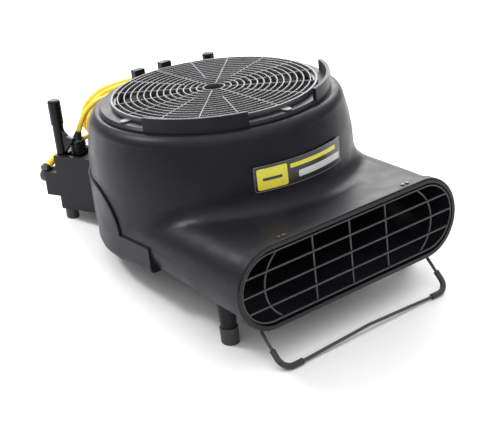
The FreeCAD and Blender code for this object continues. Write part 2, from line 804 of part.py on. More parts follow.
seat = [(bearing_outer, bearing_low[0]), (24.0, bearing_low[0]),
        (24.0, bearing_low[1]), (bearing_outer, bearing_low[1])]
finish(turned("bearing_seat", seat), "bearing_seat")
stator_outer = size("motor_radius") - 3.5
stator = [(36.0, -163.0), (stator_outer, -163.0), (stator_outer, -117.0), (36.0, -117.0)]
finish(turned("motor_stator", stator), "motor_stator")
rotor = [(size("shaft_radius"), -164.0), (35.4, -164.0), (35.4, -116.0), (size("shaft_radius"), -116.0)]
finish(turned("motor_rotor", rotor), "motor_rotor")
shaft = rod("motor_shaft", size("shaft_radius"), shaft_high - shaft_low - 1, (0, 0, shaft_low + 2))
finish(shaft, "motor_shaft")

# ---------------------------------------------------------------- fan wheel

wheel_outer = size("wheel_radius")
plate_top = size("wheel_plate")
finish(turned("wheel_backplate", [
    (12.5, -88.0), (66.0, -88.0), (84.0, plate_top), (wheel_outer, plate_top),
    (wheel_outer, plate_top - 2.5), (82.2, plate_top - 2.5), (64.2, -90.5), (12.5, -90.5),
]), "wheel_backplate")
finish(turned("wheel_hub", [
    (size("shaft_radius"), -93.0), (12.5, -93.0), (12.5, -88.0), (26.0, -88.0), (26.0, -84.0),
    (13.0, -84.0), (13.0, -70.0), (size("shaft_radius"), -70.0),
]), "wheel_hub")
finish(turned("wheel_rim", [
    (118.5, size("wheel_top")), (wheel_outer, size("wheel_top")), (wheel_outer, size("wheel_top") - 4.0),
    (118.5, size("wheel_top") - 4.0),
]), "wheel_rim")


def blade_solid():
    """One forward-curved blade, an arc in plan, standing on the backplate."""
    thickness = 1.8
    lead, bow, trail = Vector(101, 0, 0), Vector(115.2, 5.4, 0), Vector(126.4, 15.5, 0)
    outer = [point + Vector(-0.45, 0.9, 0).normalize() * thickness for point in (lead, bow, trail)]
    edges = [Part.Arc(lead, bow, trail).toShape(), Part.makeLine(trail, outer[2]),
             Part.Arc(outer[2], outer[1], outer[0]).toShape(), Part.makeLine(outer[0], lead)]
    blade = Part.Face(Part.Wire(edges))
    blade.translate(Vector(0, 0, num("wheel_plate")))
    return blade.extrude(Vector(0, 0, num("wheel_top") - 4.0 - num("wheel_plate")))


blades = []
for index in range(int(num("blade_count"))):
    blade = blade_solid()
    blade.rotate(ORIGIN, UP, 360 * index / num("blade_count"))
    blades.append(blade)
shaped("wheel_blades", Part.makeCompound(blades))

nut = Part.Face(Part.makePolygon(circle_points(11.0, 6, -70) + [circle_points(11.0, 6, -70)[0]]))
nut = nut.extrude(Vector(0, 0, 6.5)).cut(Part.makeCylinder(num("shaft_radius"), 20, Vector(0, 0, -75)))
shaped("hub_nut", nut)

# ---------------------------------------------------------------- run capacitor in the deck

capacitor_height = num("deck_bottom") + num("shell") + 15.0
finish(rod("run_capacitor", 12.5, 62.0, (-2, 222, capacitor_height), (1, 0, 0)), "run_capacitor")
strap = Part.makeCylinder(14.2, 14, Vector(20, 222, capacitor_height), Vector(1, 0, 0))
deck_floor = num("deck_bottom") + num("shell")
strap = strap.fuse(box((20, 34), (204, 240), (deck_floor, deck_floor + 2)))
strap = strap.cut(Part.makeCylinder(12.5, 20, Vector(18, 222, capacitor_height), Vector(1, 0, 0)))
strap = strap.common(box((0, 60), (190, 250), (deck_floor, num("deck_top") - num("shell"))))
shaped("capacitor_strap", strap)

# ---------------------------------------------------------------- speed switch and knob

switch = arm_prism((252.5, 267.8), (47.5, 65.5), (-146, -131))
neck = Part.makeCylinder(4.5, 4.3, arm_point(267.5, KNOB_OFF, KNOB_Z), ALONG_ARM)
shaped("speed_switch", switch.fuse(neck).removeSplitter())
nut_disc = rod("nut_disc", 7.0, 2.2, arm_point(271, KNOB_OFF, KNOB_Z), ALONG_ARM)
nut_bore = rod("nut_bore", 4.5, 10.0, arm_point(268, KNOB_OFF, KNOB_Z), ALONG_ARM)
finish(less("switch_nut", nut_disc, nut_bore), "switch_nut")


def knob_solid():
    """A round dial knob with finger flutes and a raised pointer bar across its face."""
    radius, height = 10.0, 12.0
    base = Part.makeCylinder(radius, height, ORIGIN)
    crown = [edge for edge in base.Edges if edge.BoundBox.ZMin > 1 and edge.BoundBox.XLength > 1]
    base = base.makeFillet(1.5, crown)
    flutes = []
    for point in circle_points(radius + 1.1, 12, 2.5, 15):
        flutes.append(Part.makeCylinder(1.9, height, point))
    base = base.cut(flutes)
    base = base.cut(Part.makeCylinder(8.0, 2.6, ORIGIN))
    base = base.cut(Part.makeCylinder(3.0, 7.5, ORIGIN))
    pointer = box((-1.2, 1.2), (0, radius - 1.5), (height - 0.5, height + 1.4))
    base = base.fuse(pointer)
    base.Placement = FreeCAD.Placement(arm_point(271.8, KNOB_OFF, KNOB_Z), FreeCAD.Rotation(UP, ALONG_ARM))
    return base


shaped("speed_knob", knob_solid())
finish(rod("knob_spindle", 2.95, 7.0, arm_point(272.2, KNOB_OFF, KNOB_Z), ALONG_ARM), "knob_spindle")

# ---------------------------------------------------------------- mains cord

cord_radius = num("cord_diameter") / 2
lead_exit = OFF_FACE * -0.94 + UP * 0.342
gland_seat = arm_point(272, 62, -124.5)
below_deck = arm_prism((255, 290), (45, 80), (num("deck_top") - 15, num("deck_top")))
gland = Part.makeCylinder(7.6, 6, gland_seat - lead_exit * 3, lead_exit)
shaped("cord_gland", gland.cut(below_deck))
relief = Part.makeCone(6.2, cord_radius + 0.6, 26, gland_seat + lead_exit * 3, lead_exit)
shaped("strain_relief", relief.cut(below_deck))

lead_points = [
    gland_seat + lead_exit * 29,
    gland_seat + lead_exit * 47,
    Vector(-90, 255.8, -107.0),
    Vector(-62.5, 259.7, -107.5),
    Vector(-34, 260.3, -107.0),
    Vector(-4, 258.8, -105.9),
]
coil_center = Vector(6, 223, -76.8)
coil_lean = Vector(0, -0.42, 0.9075)
coil_half_width, coil_half_height, coil_end_radius = 86.0, 46.0, 45.5
coil_band, coil_depth = 17.4, 50.0


def coil_solid():
    """The outer shape of the wound cord: an oval ring that leans on the drum's back."""
    wires = []
    for inset in (0.0, coil_band):
        half_width, half_height = coil_half_width - inset, coil_half_height - inset
        wires.append(oblong(half_width, -half_height, half_height, coil_end_radius - inset, 0))
    shape = Part.Face(wires[0]).cut(Part.Face(wires[1])).Faces[0].extrude(Vector(0, coil_depth, 0))
    rims = [edge for edge in shape.Edges if edge.BoundBox.YLength < 0.01]
    shape = shape.makeFillet(8.0, rims)
    shape.translate(Vector(0, -coil_depth / 2, 0))
    lean = FreeCAD.Rotation(Vector(0, 0, 1), coil_lean)
    shape.Placement = FreeCAD.Placement(coil_center, lean).multiply(shape.Placement)
    return shape


plug_along, plug_off = 221.0, 41.0
plug_top = -72.0
plug_exit = Vector(0.45, 0.06, 0.89).normalize()
plug_crown = arm_point(plug_along, plug_off, plug_top - 8)
tail_points = [
    plug_crown + plug_exit * 9,
    plug_crown + plug_exit * 27,
    Vector(-90.0, 193.6, -42.0),
    Vector(-70.5, 191.5, -34.0),
    Vector(-48.0, 189.5, -35.0),
    Vector(-26.0, 188.0, -41.0),
    Vector(-5.0, 187.2, -46.8),
]


def cord_tube(label, points):
    """A stretch of cord along straight runs joined by its natural arcs."""
    radii = natural_radii(points)
    path = rounded_path(points, radii)
    solid = tube_along(path, cord_radius)
    print(label, "arc radii mm:", [round(value, 1) for value in radii],
          "volume ratio:", round(solid.Volume / (math.pi * cord_radius ** 2 * path.Length), 4))
    return shaped(label, solid)


cord_tube("power_cord", lead_points)
shaped("cord_coil", coil_solid())
cord_tube("cord_tail", tail_points)

plug_block = arm_prism((plug_along - 8, plug_along + 8), (plug_off - 11.5, plug_off + 11.5),
                       (-104, plug_top - 8))
plug_edges = [edge for edge in plug_block.Edges if edge.BoundBox.ZLength > 5]
plug_block = plug_block.makeFillet(4.0, plug_edges)
plug_neck = Part.makeCone(7.5, cord_radius + 0.8, 12.0, plug_crown - plug_exit * 3, plug_exit)
shaped("plug_body", plug_block.fuse(plug_neck).removeSplitter())
pins = []
for shift in (-6.4, 6.4):
    blade_off = plug_off + shift
    pins.append(arm_prism((plug_along - 3.2, plug_along + 3.2), (blade_off - 0.8, blade_off + 0.8), (-120, -104)))
pins.append(Part.makeCylinder(2.4, 17, arm_point(plug_along + 4.6, plug_off, -121)))
shaped("plug_pins", Part.makeCompound(pins))

# ---------------------------------------------------------------- folding front stand

wire_radius = num("stand_wire") / 2
sleeve_radius = num("stand_sleeve") / 2
pivot = Vector(0, num("stand_pivot_y"), num("stand_pivot_z"))
foot_z = floor_height(num("stand_foot_y")) + sleeve_radius + 0.35
half_width = num("stand_half_width")


def stand_points(side):
    """Half of the stand's wire, from the pivot stub down its leg to the middle of the cross bar."""
    top = pivot.z
    return [
        Vector(side * 108.0, pivot.y, top), Vector(side * half_width, pivot.y, top),
        Vector(side * half_width, num("stand_foot_y"), foot_z),
        Vector(side * 104.0, num("stand_foot_y"), foot_z),
    ]


left_half = stand_points(-1)
right_half = stand_points(1)
crest = Vector(0, num("stand_foot_y"), foot_z + 4.5)
stand_route = left_half + [crest] + right_half[::-1]
stand_radii = [6.0, 16.0, 80.0, 120.0, 80.0, 16.0, 6.0]
shaped("stand_wire", tube_along(rounded_path(stand_route, stand_radii), wire_radius))

for side, name in ((-1, "left"), (1, "right")):
    leg_top = Vector(side * half_width, pivot.y, pivot.z)
    corner = Vector(side * half_width, num("stand_foot_y"), foot_z)
    up_leg = (leg_top - corner).normalize()
    path = rounded_path([corner + up_leg * 28, corner, corner - Vector(side * 30, 0, 0)], [16.0])
    sleeve = tube_along(path, sleeve_radius).cut(tube_along(path, wire_radius))
    shaped(f"stand_sleeve_{name}", sleeve)
    saddle = box((side * CLIP_X - 11, side * CLIP_X + 11), (pivot.y - 6, pivot.y + 12), (CLIP_LOW, -215.0))
    bore = Part.makeCylinder(wire_radius + 0.06, 60, Vector(side * CLIP_X - 30, pivot.y, pivot.z), Vector(1, 0, 0))
    saddle = saddle.cut([duct_solid(0, num("duct_front")), bore, Part.makeCompound(clip_screws)])
    shaped(f"stand_clip_{name}", saddle)
shaped("clip_screws", Part.makeCompound(clip_screws))

# ---------------------------------------------------------------- generic badge on the drum

badge = ring(num("drum_radius") - 0.2, num("drum_radius") + 1.0, -91, -57)
wedge_points = [ORIGIN] + [Vector(260 * math.sin(a), -260 * math.cos(a), 0) for a in
                           (math.radians(v) for v in (-23.4, -12, 0, 12, 22.8))]
badge = badge.common(prism([(point.x, point.y) for point in wedge_points], -91, -57))
badge = badge.cut(drum_solid())
shaped("badge_plate", badge)

# ---------------------------------------------------------------- checks and files

document.recompute()
for item in document.Objects:
    if "Invalid" in item.State or "Error" in item.State:
        raise RuntimeError(f"{item.Label} did not recompute: {item.State}")
for node in nodes:
    if node.Shape.isNull() or not node.Shape.isValid() or not node.Shape.Solids:
        raise RuntimeError(f"{node.Label} has no valid solid")

os.makedirs("parts", exist_ok=True)
for node in nodes:
    node.Shape.exportStep(f"parts/{node.Label}.step")
    print(node.Label, len(node.Shape.Solids), "solids", round(node.Shape.Volume / 1000, 2), "cm3")
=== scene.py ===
"""Looks of a low-profile car dryer blower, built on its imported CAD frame.

New pieces are laid out in the housing's own axes, in millimetres: +Z up the fan's axis, the outlet
facing -Y, the inlet grille's top face at height 0. own() leans them back onto the floor with the rest.
"""

import json
import math

import bpy
from mathutils import Matrix, Vector


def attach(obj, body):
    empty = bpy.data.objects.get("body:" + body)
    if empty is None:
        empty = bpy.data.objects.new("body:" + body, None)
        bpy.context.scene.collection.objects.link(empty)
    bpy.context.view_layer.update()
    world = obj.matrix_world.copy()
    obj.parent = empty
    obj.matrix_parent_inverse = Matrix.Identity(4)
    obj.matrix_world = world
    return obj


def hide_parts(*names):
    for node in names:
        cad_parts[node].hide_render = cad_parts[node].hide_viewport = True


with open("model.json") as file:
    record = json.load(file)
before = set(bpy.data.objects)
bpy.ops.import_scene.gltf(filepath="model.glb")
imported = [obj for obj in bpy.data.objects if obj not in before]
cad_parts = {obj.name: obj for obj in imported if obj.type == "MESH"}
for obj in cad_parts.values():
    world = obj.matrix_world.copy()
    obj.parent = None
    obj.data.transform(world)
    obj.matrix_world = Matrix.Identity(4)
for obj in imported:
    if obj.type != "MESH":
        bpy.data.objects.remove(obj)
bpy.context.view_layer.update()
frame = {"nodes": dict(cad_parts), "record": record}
nodes = frame["nodes"]
scene = bpy.context.scene

MM = 0.001
STANCE = math.radians(8.9)
LEAN = Matrix.Translation((0, 0.044937, 0.228)) @ Matrix.Rotation(-STANCE, 4, "X")
ARM_TILT = math.radians(20.5)
ALONG_ARM = Vector((-math.sin(ARM_TILT), math.cos(ARM_TILT), 0))
OFF_FACE = Vector((-math.cos(ARM_TILT), -math.sin(ARM_TILT), 0))
UP = Vector((0, 0, 1))


def own(point):
    """A point in the housing's own axes, in millimetres, as a row-frame point in metres."""
    return LEAN @ (Vector(point) * MM)


def arm_point(along, off, z):
    """A point of the left arm: distance out along it, distance towards its outer face, height."""
    point = ALONG_ARM * along + OFF_FACE * off
    return Vector((point.x, point.y, z))


# ---------------------------------------------------------------- camera

CAMERA_PLACE = (-0.9212, -1.2058, 0.9165)
CAMERA_HEADING, CAMERA_DIP, CAMERA_ROLL = 38.104, 29.907, -0.654


def make_camera():
    """The camera at the photograph's angle, in front of the outlet's left corner and above it."""
    data = bpy.data.cameras.new("camera")
    data.sensor_width = 36
    data.lens = 90
    camera = bpy.data.objects.new("camera", data)
    heading = Matrix.Rotation(math.radians(-CAMERA_HEADING), 4, "Z")
    dip = Matrix.Rotation(math.radians(90 - CAMERA_DIP), 4, "X")
    roll = Matrix.Rotation(math.radians(CAMERA_ROLL), 4, "Z")
    camera.matrix_world = Matrix.Translation(CAMERA_PLACE) @ heading @ dip @ roll
    scene.collection.objects.link(camera)
    scene.camera = camera


make_camera()

# ---------------------------------------------------------------- materials


class Paint:
    """A procedural material under construction, laid out in object space."""

    def __init__(self, name, **sockets):
        self.material = bpy.data.materials.new(name)
        self.material.use_nodes = True
        self.tree = self.material.node_tree
        self.shader = self.tree.nodes["Principled BSDF"]
        for socket, value in sockets.items():
            self.shader.inputs[socket.replace("_", " ")].default_value = value
        self.place = self.node("TexCoord").outputs["Object"]
        self.normal = None

    def node(self, kind, **settings):
        made = self.tree.nodes.new("ShaderNode" + kind)
        for key, value in settings.items():
            setattr(made, key, value)
        return made

    def link(self, source, target):
        self.tree.links.new(source, target)

    def noise(self, size_mm, detail=2.0, roughness=0.5, stretch=None):
        """Noise whose features are about that size."""
        made = self.node("TexNoise")
        made.inputs["Scale"].default_value = 1 / (size_mm * MM)
        made.inputs["Detail"].default_value = detail
        made.inputs["Roughness"].default_value = roughness
        place = self.place
        if stretch:
            mapping = self.node("Mapping")
            mapping.inputs["Scale"].default_value = stretch
            self.link(place, mapping.inputs["Vector"])
            place = mapping.outputs["Vector"]
        self.link(place, made.inputs["Vector"])
        return made.outputs["Fac"]

    def spread(self, source, low, high, to_low=0.0, to_high=1.0):
        """A value remapped from one range to another."""
        made = self.node("MapRange")
        sockets = ("From Min", "From Max", "To Min", "To Max")
        for socket, value in zip(sockets, (low, high, to_low, to_high)):
            made.inputs[socket].default_value = value
        self.link(source, made.inputs["Value"])
        return made.outputs["Result"]

    def times(self, first, second):
        made = self.node("Math", operation="MULTIPLY")
        self.link(first, made.inputs[0])
        self.link(second, made.inputs[1])
        return made.outputs[0]

    def mixed(self, factor, first, second):
        """One colour turning into another; each is a colour or an output."""
        made = self.node("Mix", data_type="RGBA")
        self.link(factor, made.inputs["Factor"])
        for socket, value in ((made.inputs[6], first), (made.inputs[7], second)):
            if isinstance(value, tuple):
                socket.default_value = (*value, 1)
            else:
                self.link(value, socket)
        return made.outputs[2]

    def edges(self, width_mm):
        """A mask that is high on outer and inner edges of that width."""
        soft = self.node("Bevel", samples=4)
        soft.inputs["Radius"].default_value = width_mm * MM
        sharp = self.node("NewGeometry")
        dot = self.node("VectorMath", operation="DOT_PRODUCT")
        self.link(soft.outputs["Normal"], dot.inputs[0])
        self.link(sharp.outputs["Normal"], dot.inputs[1])
        return self.spread(dot.outputs["Value"], 0.98, 0.78)

    def raise_by(self, height, depth_mm):
        """Bump added on top of what is there."""
        made = self.node("Bump")
        made.inputs["Distance"].default_value = depth_mm * MM
        self.link(height, made.inputs["Height"])
        if self.normal is None:
            soft = self.node("Bevel", samples=4)
            soft.inputs["Radius"].default_value = 0.6 * MM
            self.normal = soft.outputs["Normal"]
        self.link(self.normal, made.inputs["Normal"])
        self.normal = made.outputs["Normal"]

    def done(self, colour, roughness):
        self.link(colour, self.shader.inputs["Base Color"])
        self.link(roughness, self.shader.inputs["Roughness"])
        if self.normal is not None:
            self.link(self.normal, self.shader.inputs["Normal"])
        return self.material


def moulded(name, dark, light, roughness, grain_mm=0.45, depth_mm=0.03, wear=0.18, **sockets):
    """Moulded plastic or rubber: fine grain, faint flow marks, scuffed edges."""
    paint = Paint(name, **sockets)
    flow = paint.spread(paint.noise(60, 3), 0.35, 0.65)
    speck = paint.spread(paint.noise(1.1, 4, 0.7), 0.4, 0.7)
    colour = paint.mixed(flow, dark, light)
    colour = paint.mixed(paint.spread(speck, 0, 1, 0.0, 0.25), colour, tuple(1.5 * v for v in light))
    scuffs = paint.spread(paint.noise(9, 6, 0.65), 0.42, 0.72)
    worn = paint.times(paint.edges(0.5), paint.spread(scuffs, 0, 1, 0.35 * wear, wear))
    colour = paint.mixed(worn, colour, tuple(min(1.0, 0.13 + 1.6 * v) for v in light))
    patches = paint.spread(paint.noise(24, 4), 0.3, 0.7, roughness - 0.05, roughness + 0.06)
    paint.raise_by(paint.noise(70, 2), 0.5)
    paint.raise_by(paint.noise(grain_mm, 2, 0.6), depth_mm)
    return paint.done(colour, patches)


def metal(name, dark, light, roughness, stretch=None, depth_mm=0.01):
    """Bare or plated metal with tool marks and slight tarnish."""
    paint = Paint(name, Metallic=1.0)
    tarnish = paint.spread(paint.noise(6, 5, 0.65), 0.35, 0.7)
    marks = paint.noise(0.8, 3, 0.6, stretch)
    colour = paint.mixed(tarnish, light, dark)
    rough = paint.spread(marks, 0.3, 0.7, roughness - 0.07, roughness + 0.1)
    paint.raise_by(marks, depth_mm)
    return paint.done(colour, rough)


def coated_wire(name, dark, light):
    """Powder-coated steel wire with orange peel and rubbed spots."""
    paint = Paint(name)
    rubbed = paint.spread(paint.noise(5, 6, 0.7), 0.55, 0.75)
    colour = paint.mixed(rubbed, dark, light)
    rough = paint.spread(paint.noise(3, 3), 0.3, 0.7, 0.3, 0.44)
    paint.raise_by(paint.noise(0.7, 2), 0.03)
    return paint.done(colour, rough)


def jacket():
    """The cord's yellow jacket: satin, faintly rippled by the cores inside, a little grimy."""
    paint = Paint("cord_jacket", Coat_Weight=0.12, Coat_Roughness=0.35)
    grime = paint.spread(paint.noise(14, 6, 0.7), 0.55, 0.8, 0.0, 0.45)
    tone = paint.spread(paint.noise(45, 2), 0.35, 0.65)
    colour = paint.mixed(tone, (0.86, 0.56, 0.025), (0.93, 0.66, 0.05))
    colour = paint.mixed(grime, colour, (0.5, 0.34, 0.06))
    rough = paint.spread(paint.noise(4, 4), 0.3, 0.7, 0.36, 0.5)
    paint.raise_by(paint.noise(5, 2), 0.12)
    paint.raise_by(paint.noise(0.5, 2), 0.02)
    return paint.done(colour, rough)


def printed(name, dark, light, roughness):
    """Label ink under a thin clear film."""
    paint = Paint(name, Coat_Weight=0.5, Coat_Roughness=0.18)
    mottle = paint.spread(paint.noise(3, 5, 0.6), 0.35, 0.7)
    colour = paint.mixed(mottle, dark, light)
    rough = paint.spread(paint.noise(8, 4), 0.3, 0.7, roughness - 0.05, roughness + 0.08)
    paint.raise_by(paint.noise(1.5, 3), 0.02)
    return paint.done(colour, rough)


MATERIALS = {
    "housing": moulded("housing_plastic", (0.0085, 0.0085, 0.0115), (0.0125, 0.0125, 0.0165), 0.38,
                       depth_mm=0.035, Specular_IOR_Level=0.17),
    # The grille is the housing's plastic. Its lighter grey base colour is painted highlight, standing in
    # for the light its rib tops catch.
    "grille": moulded("grille_plastic_painted_highlight", (0.05, 0.05, 0.054), (0.085, 0.085, 0.09), 0.36, wear=0.6),
    "bezel": moulded("bezel_plastic", (0.004, 0.004, 0.005), (0.007, 0.007, 0.008), 0.25, 0.8, 0.015,
                     Specular_IOR_Level=0.3),
    "inner_plastic": moulded("inner_plastic", (0.006, 0.006, 0.007), (0.012, 0.012, 0.013), 0.5),
    "guard_wire": coated_wire("guard_coating", (0.045, 0.045, 0.047), (0.12, 0.12, 0.12)),
    "stand_wire": coated_wire("stand_coating", (0.04, 0.04, 0.042), (0.11, 0.11, 0.11)),
    "screw_steel": metal("blackened_steel", (0.06, 0.06, 0.062), (0.16, 0.16, 0.165), 0.34),
    "rubber": moulded("foot_rubber", (0.022, 0.022, 0.023), (0.036, 0.036, 0.037), 0.62, 0.6, 0.05),
    "post_plastic": moulded("post_plastic", (0.004, 0.004, 0.005), (0.007, 0.007, 0.008), 0.28,
                            Specular_IOR_Level=0.2),
    "motor_metal": moulded("motor_paint", (0.1, 0.1, 0.105), (0.16, 0.16, 0.17), 0.42, 1.2, 0.03),
    "motor_core": metal("laminations", (0.16, 0.15, 0.14), (0.26, 0.25, 0.24), 0.5, (1, 1, 6), 0.03),
    "shaft_steel": metal("ground_steel", (0.42, 0.42, 0.42), (0.62, 0.62, 0.63), 0.24, (1, 1, 8)),
    "capacitor": moulded("capacitor_can", (0.5, 0.5, 0.48), (0.62, 0.62, 0.6), 0.4, 1.0, 0.02, 0.2),
    "switch_plastic": moulded("switch_plastic", (0.02, 0.02, 0.021), (0.035, 0.035, 0.036), 0.45),
    "knob": moulded("knob_plastic", (0.012, 0.012, 0.013), (0.02, 0.02, 0.021), 0.34),
    "gland": moulded("gland_plastic", (0.014, 0.014, 0.015), (0.024, 0.024, 0.025), 0.42),
    "cord": jacket(),
    "plug": moulded("plug_rubber", (0.008, 0.008, 0.008), (0.016, 0.016, 0.016), 0.42, 0.5, 0.03),
    "plug_brass": metal("brass", (0.45, 0.33, 0.13), (0.72, 0.55, 0.26), 0.26),
    "badge": printed("badge_black", (0.008, 0.008, 0.008), (0.014, 0.014, 0.014), 0.3),
}
badge_yellow = printed("badge_yellow", (0.85, 0.76, 0.03), (0.93, 0.85, 0.06), 0.3)
badge_white = printed("badge_white", (0.72, 0.72, 0.7), (0.82, 0.82, 0.8), 0.32)
badge_edge = printed("badge_edge", (0.09, 0.09, 0.095), (0.16, 0.16, 0.165), 0.34)


def paint_nodes():
    """Every CAD node takes the material of its slot in the record."""
    for part in frame["record"]["subparts"]:
        mesh_object = nodes[part["node"]]
        material = MATERIALS[part["material_slot"]]
        if not mesh_object.material_slots:
            mesh_object.data.materials.append(material)
        for place in mesh_object.material_slots:
            place.material = material


paint_nodes()


MOUTH_LEVEL = -170.0


def paint_bezel():
    """The bezel's outer side matches the housing beside it; its front and inside stay glossy black."""
    mesh = nodes["outlet_bezel"].data
    mesh.materials.append(MATERIALS["housing"])
    middle = own((0, 0, MOUTH_LEVEL))
    facing = LEAN.to_3x3() @ Vector((0, -1, 0))
    for face in mesh.polygons:
        reach = face.center - middle
        outward = reach - facing * reach.dot(facing)
        beside_mouth = abs(face.normal.dot(facing)) < 0.5
        if beside_mouth and face.normal.dot(outward) > 0:
            face.material_index = len(mesh.materials) - 1


paint_bezel()

# ---------------------------------------------------------------- piece helpers


def add_piece(thing, body, material):
    """Link a new piece, paint it and let it ride."""
    scene.collection.objects.link(thing)
    thing.data.materials.append(material)
    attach(thing, body)
    return thing


CREASE = math.radians(35)


def mesh_piece(name, points, faces, body, slot, material=None):
    """A mesh piece from points in the housing's own axes."""
    mesh = bpy.data.meshes.new(name)
    mesh.from_pydata([own(point) for point in points], [], faces)
    mesh.validate()
    mesh.shade_smooth()
    mesh.set_sharp_from_angle(angle=CREASE)
    return add_piece(bpy.data.objects.new(name, mesh), body, material or MATERIALS[slot])


def loft(sections, closed_path=False):
    """Points and faces of a skin over sections with equal numbers of points, capped at open ends."""
    count = len(sections[0])
    points = [point for section in sections for point in section]
    faces = []
    rows = len(sections)
    for row in range(rows if closed_path else rows - 1):
        after = (row + 1) % rows
        for index in range(count):
            ahead = (index + 1) % count
            here, there = row * count, after * count
            faces.append((here + index, here + ahead, there + ahead, there + index))
    if not closed_path:
        faces.append(tuple(reversed(range(count))))
        faces.append(tuple(range((rows - 1) * count, rows * count)))
    return points, faces


def merged(parts):
    """Several (points, faces) shells as one."""
    points, faces = [], []
    for more_points, more_faces in parts:
        shift = len(points)
        points += more_points
        faces += [tuple(index + shift for index in face) for face in more_faces]
    return points, faces


def swept(path, outline, outward, closed=False, scale=None):
    """A skin swept along a path; outward gives the direction of the outline's first axis."""
    sections = []
    last = len(path) - 1
    for index, point in enumerate(path):
        before = path[index - 1] if closed or index else point
        after = path[(index + 1) % len(path)] if closed or index < last else point
        tangent = (after - before).normalized()
        out = outward(point)
        out = (out - tangent * out.dot(tangent)).normalized()
        across = tangent.cross(out)
        size = scale(index) if scale else 1.0
        sections.append([point + out * (a * size) + across * (b * size) for a, b in outline])
    return loft(sections, closed)


def circle(radius, count=16):
    """Points of a round outline."""
    turns = [2 * math.pi * index / count for index in range(count)]
    return [(radius * math.cos(turn), radius * math.sin(turn)) for turn in turns]


def rounded_outline(half_a, half_b, corner, steps=3):
    """Points of a rectangle with round corners."""
    points = []
    for quarter, (side_a, side_b) in enumerate(((1, 1), (-1, 1), (-1, -1), (1, -1))):
        for step in range(steps + 1):
            turn = math.pi / 2 * (quarter + step / steps)
            points.append((side_a * (half_a - corner) + corner * math.cos(turn),
                           side_b * (half_b - corner) + corner * math.sin(turn)))
    return points


def away_from_axis(point):
    """The direction straight out from the fan's axis."""
    return Vector((point.x, point.y, 0)).normalized()


def around(radius, z, start=0.0, end=360.0, steps=96):
    """Points on a circle about the fan's axis; 0 degrees faces the outlet, and +X follows."""
    count = steps if end - start >= 360 else steps + 1
    turns = [math.radians(start + (end - start) * index / steps) for index in range(count)]
    return [Vector((radius * math.sin(turn), -radius * math.cos(turn), z)) for turn in turns]


def turned_along(base, direction, profile, count=24):
    """A skin turned about a line from base along direction, from (distance, radius) pairs."""
    direction = direction.normalized()
    side = direction.orthogonal().normalized()
    other = direction.cross(side)
    sections = []
    for distance, radius in profile:
        center = base + direction * distance
        sections.append([center + side * a + other * b for a, b in circle(radius, count)])
    return loft(sections)


# ---------------------------------------------------------------- cord

CORD_DIAMETER = 8.0
COIL_CENTER = Vector((6, 223, -76.8))
COIL_UP = Vector((0, -0.42, 0.9075))
COIL_OUT = Vector((0, 0.9075, 0.42))
COIL_HALF_WIDTH, COIL_HALF_HEIGHT, COIL_END_RADIUS = 86.0, 46.0, 45.5
TURN_PITCH = 8.1
LAYERS, ROWS = 6, 2
POINTS_PER_TURN = 28
FIRST_TURN, LAST_TURN = -0.02, LAYERS * ROWS + 0.53
STEP_SHARE = 0.14

RELIEF_LENGTH = 26.0
lead_exit = OFF_FACE * -0.94 + UP * 0.342
relief_base = arm_point(272, 62, -124.5) + lead_exit * 3
lead_start = relief_base + lead_exit * RELIEF_LENGTH
lead_points = [
    lead_start,
    lead_start + lead_exit * 18,
    Vector((-90, 255.8, -107.0)),
    Vector((-62.5, 259.7, -107.5)),
    Vector((-34, 260.3, -107.0)),
    Vector((-4, 258.8, -105.9)),
]
PLUG_ALONG, PLUG_OFF = 221, 41
plug_crown = arm_point(PLUG_ALONG, PLUG_OFF, -80)
plug_exit = Vector((0.45, 0.06, 0.89)).normalized()
tail_points = [
    plug_crown + plug_exit * 9,
    plug_crown + plug_exit * 27,
    Vector((-90.0, 193.6, -42.0)),
    Vector((-70.5, 191.5, -34.0)),
    Vector((-48.0, 189.5, -35.0)),
    Vector((-26.0, 188.0, -41.0)),
    Vector((-5.0, 187.2, -46.8)),
]


def coil_outline(share, inset):
    """A point of the coil's loop, by share of a turn from the middle of its lower run, and its inset."""
    half_width = COIL_HALF_WIDTH - inset
    radius = COIL_END_RADIUS - inset
    straight = half_width - radius
    rise = COIL_HALF_HEIGHT - inset - radius
    bend = math.pi * radius
    runs = [straight, bend, 2 * straight, bend, straight]
    left = (share % 1.0) * sum(runs)
    part = 0
    while left > runs[part] and part < len(runs) - 1:
        left -= runs[part]
        part += 1
    if part == 0:
        return left, -radius - rise
    if part == 2:
        return straight - left, radius + rise
    if part == 4:
        return left - straight, -radius - rise
    turn = left / radius
    side = 1 if part == 1 else -1
    level = -math.cos(turn) if part == 1 else math.cos(turn)
    return side * (straight + radius * math.sin(turn)), level * radius + rise * math.copysign(1, level)


def stair(turns):
    """Whole steps, one a turn, each taken smoothly early in its turn; the first turn is step 0."""
    step = math.floor(turns)
    share = min(1.0, (turns - step) / STEP_SHARE)
    return max(0.0, step - 1 + share * share * (3 - 2 * share))


def coil_points():
    """Control points of the wound turns, from the rear layer's outer row to the front layer's."""
    points = []
    wound_turns = LAST_TURN - FIRST_TURN
    count = int(round(wound_turns * POINTS_PER_TURN))
    for index in range(count + 1):
        turns = FIRST_TURN + wound_turns * index / count
        layer = max(0, min(int(turns / ROWS), LAYERS - 1))
        within = turns - layer * ROWS
        climb = min(1.0, within / STEP_SHARE) if layer else 1.0
        depth = (LAYERS - 1) / 2 - layer + 1 - climb * climb * (3 - 2 * climb)
        wound = min(ROWS - 1.0, stair(within))
        row = wound if layer % 2 == 0 else ROWS - 1 - wound
        loose = 0.3 * math.sin(2.4 * turns) + 0.2 * math.sin(7.1 * turns)
        inset = CORD_DIAMETER / 2 + 0.6 + TURN_PITCH * row + 0.3 * math.sin(3.3 * turns)
        across, rise = coil_outline(turns, inset)
        points.append(COIL_CENTER + Vector((across, 0, 0)) + COIL_UP * rise
                      + COIL_OUT * (depth * TURN_PITCH + loose))
    return points


